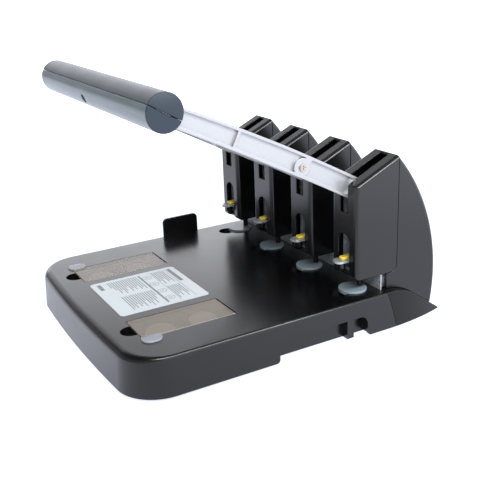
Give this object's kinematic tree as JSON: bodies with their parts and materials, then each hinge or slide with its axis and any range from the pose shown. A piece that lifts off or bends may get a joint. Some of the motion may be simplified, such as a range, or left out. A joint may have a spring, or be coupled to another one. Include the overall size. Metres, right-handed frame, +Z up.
{
  "type": "heavy duty hole punch",
  "caption": "Desk paper punch with a flat deck, a row of punch towers on steel frames, a long lever with a round grip, turnable cutting discs, spare disc bays and a side paper guide.",
  "frame": {"origin": "centre of the bounding box, on the plane under the rubber feet", "axes": "+X to the right, +Y from the front edge to the rear foot, +Z up"},
  "size_m": [0.302, 0.366, 0.2742],
  "materials": {
    "shell_plastic": "satin moulded charcoal plastic with a fine grain",
    "black_plastic": "glossy black plastic",
    "black_steel": "black oxide on hardened steel",
    "zinc_plate": "zinc plated sheet steel",
    "steel": "bright turned steel",
    "spring_steel": "oiled spring wire",
    "bronze": "sintered bronze",
    "brass_screw": "yellow passivated screw",
    "cast_alloy": "silver lacquer on a casting",
    "grip_plastic": "slate blue satin plastic",
    "disc_plastic": "grey plastic",
    "smoke_plastic": "smoke tinted clear plastic",
    "label_film": "pale printed film with plain bars",
    "yellow_plastic": "yellow plastic",
    "rubber": "black rubber"
  },
  "bodies": {
    "base": {"base_shell": "shell_plastic", "rear_foot": "shell_plastic", "bottom_plate": "zinc_plate", "rubber_feet": "rubber", "case_screws": "steel", "back_stop": "zinc_plate", "instruction_label": "label_film", "spare_discs": "disc_plastic", "head_frames": "zinc_plate", "guide_bushes": "bronze", "pivot_pins": "steel", "punch_housing_1": "shell_plastic", "punch_housing_2": "shell_plastic", "punch_housing_3": "shell_plastic", "punch_housing_4": "shell_plastic", "rear_cover_1": "shell_plastic", "rear_cover_2": "shell_plastic", "rear_cover_3": "shell_plastic", "rear_cover_4": "shell_plastic", "return_spring_1": "spring_steel", "return_spring_2": "spring_steel", "return_spring_3": "spring_steel", "return_spring_4": "spring_steel"},
    "lever": {"lever_arm_1": "cast_alloy", "lever_arm_2": "cast_alloy", "lever_arm_3": "cast_alloy", "lever_arm_4": "cast_alloy", "drive_pins": "steel", "tie_rod": "steel", "lever_screws": "brass_screw", "grip_top": "grip_plastic", "grip_bottom": "grip_plastic", "grip_core": "steel"},
    "punch_1": {"plunger_1": "zinc_plate", "punch_pin_1": "black_steel"},
    "release_1": {"release_slide_1": "zinc_plate", "release_tip_1": "yellow_plastic", "release_knob_1": "black_plastic"},
    "disc_1": {"cutting_disc_1": "disc_plastic"},
    "punch_2": {"plunger_2": "zinc_plate", "punch_pin_2": "black_steel"},
    "release_2": {"release_slide_2": "zinc_plate", "release_tip_2": "yellow_plastic", "release_knob_2": "black_plastic"},
    "disc_2": {"cutting_disc_2": "disc_plastic"},
    "punch_3": {"plunger_3": "zinc_plate", "punch_pin_3": "black_steel"},
    "release_3": {"release_slide_3": "zinc_plate", "release_tip_3": "yellow_plastic", "release_knob_3": "black_plastic"},
    "disc_3": {"cutting_disc_3": "disc_plastic"},
    "punch_4": {"plunger_4": "zinc_plate", "punch_pin_4": "black_steel"},
    "release_4": {"release_slide_4": "zinc_plate", "release_tip_4": "yellow_plastic", "release_knob_4": "black_plastic"},
    "disc_4": {"cutting_disc_4": "disc_plastic"},
    "lid_left": {"bay_lid_left": "smoke_plastic"},
    "lid_right": {"bay_lid_right": "smoke_plastic"},
    "guide": {"paper_guide": "black_plastic"}
  },
  "joints": [
    {"name": "lever_swing", "type": "hinge", "parent": "base", "child": "lever", "pos_m": [0, 0.116, 0.132], "axis": [-1, 0, 0], "range_deg": [0, 48]},
    {"name": "punch_stroke_1", "type": "slide", "parent": "base", "child": "punch_1", "axis": [0, 0, 1], "range_m": [0, 0.02202], "deforming": ["return_spring_1"]},
    {"name": "punch_stroke_2", "type": "slide", "parent": "base", "child": "punch_2", "axis": [0, 0, 1], "range_m": [0, 0.02202], "deforming": ["return_spring_2"]},
    {"name": "punch_stroke_3", "type": "slide", "parent": "base", "child": "punch_3", "axis": [0, 0, 1], "range_m": [0, 0.02202], "deforming": ["return_spring_3"]},
    {"name": "punch_stroke_4", "type": "slide", "parent": "base", "child": "punch_4", "axis": [0, 0, 1], "range_m": [0, 0.02202], "deforming": ["return_spring_4"]},
    {"name": "release_pull_1", "type": "slide", "parent": "punch_1", "child": "release_1", "axis": [0, -1, 0], "range_m": [0, 0.008]},
    {"name": "release_pull_2", "type": "slide", "parent": "punch_2", "child": "release_2", "axis": [0, -1, 0], "range_m": [0, 0.008]},
    {"name": "release_pull_3", "type": "slide", "parent": "punch_3", "child": "release_3", "axis": [0, -1, 0], "range_m": [0, 0.008]},
    {"name": "release_pull_4", "type": "slide", "parent": "punch_4", "child": "release_4", "axis": [0, -1, 0], "range_m": [0, 0.008]},
    {"name": "disc_turn_1", "type": "hinge", "parent": "base", "child": "disc_1", "pos_m": [-0.12, 0.082, 0.0426], "axis": [0, 0, 1], "continuous": true},
    {"name": "disc_turn_2", "type": "hinge", "parent": "base", "child": "disc_2", "pos_m": [-0.04, 0.082, 0.0426], "axis": [0, 0, 1], "continuous": true},
    {"name": "disc_turn_3", "type": "hinge", "parent": "base", "child": "disc_3", "pos_m": [0.04, 0.082, 0.0426], "axis": [0, 0, 1], "continuous": true},
    {"name": "disc_turn_4", "type": "hinge", "parent": "base", "child": "disc_4", "pos_m": [0.12, 0.082, 0.0426], "axis": [0, 0, 1], "continuous": true},
    {"name": "lid_hinge_left", "type": "hinge", "parent": "base", "child": "lid_left", "pos_m": [-0.08245, -0.0494, 0.0416], "axis": [-1, 0, 0], "range_deg": [0, 100]},
    {"name": "lid_hinge_right", "type": "hinge", "parent": "base", "child": "lid_right", "pos_m": [0.08245, -0.0494, 0.0416], "axis": [-1, 0, 0], "range_deg": [0, 100]},
    {"name": "guide_slide", "type": "slide", "parent": "base", "child": "guide", "axis": [-1, 0, 0], "range_m": [0, 0.06]}
  ],
  "couplings": [
    {"joint": "punch_stroke_1", "follows": "lever_swing", "m_per_rad": 0.026261},
    {"joint": "punch_stroke_2", "follows": "lever_swing", "m_per_rad": 0.026261},
    {"joint": "punch_stroke_3", "follows": "lever_swing", "m_per_rad": 0.026261},
    {"joint": "punch_stroke_4", "follows": "lever_swing", "m_per_rad": 0.026261}
  ]
}
